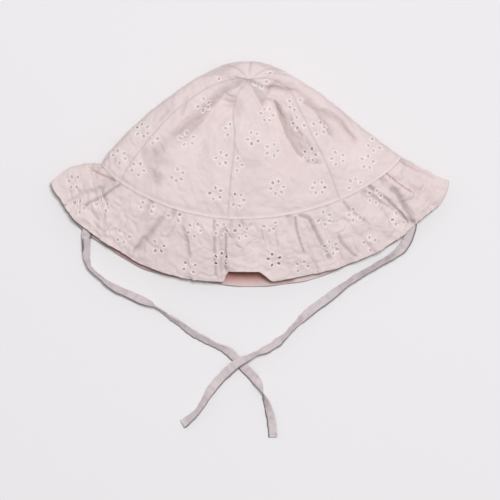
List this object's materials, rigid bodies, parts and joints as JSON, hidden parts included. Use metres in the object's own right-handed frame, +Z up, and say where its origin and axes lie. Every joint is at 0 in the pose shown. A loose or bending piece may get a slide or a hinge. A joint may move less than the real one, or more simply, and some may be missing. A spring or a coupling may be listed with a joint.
{
  "type": "baby sun hat",
  "caption": "Soft brimmed baby hat lying flat on its back, with a seamed crown, a gathered ruffle brim, eyelet embroidery and narrow ties that cross below it.",
  "frame": {"origin": "on the surface the hat lies on, under the middle of the hat without its ties", "axes": "+X to the hat's right-hand side tip as it lies, +Y towards the top of the crown, +Z up from the surface, out of the front of the hat"},
  "size_m": [0.3011, 0.2854, 0.0348],
  "materials": {
    "eyelet_cotton": "matt crinkled cotton with embroidered eyelets over a plain lining",
    "tie_cotton": "matt plain cotton"
  },
  "bodies": {
    "root": {"crown_front_left": "eyelet_cotton", "crown_front_right": "eyelet_cotton", "crown_side_left": "eyelet_cotton", "crown_side_right": "eyelet_cotton", "crown_back_left": "eyelet_cotton", "crown_back_right": "eyelet_cotton", "brim": "eyelet_cotton", "tie_left": "tie_cotton", "tie_right": "tie_cotton"}
  },
  "joints": []
}
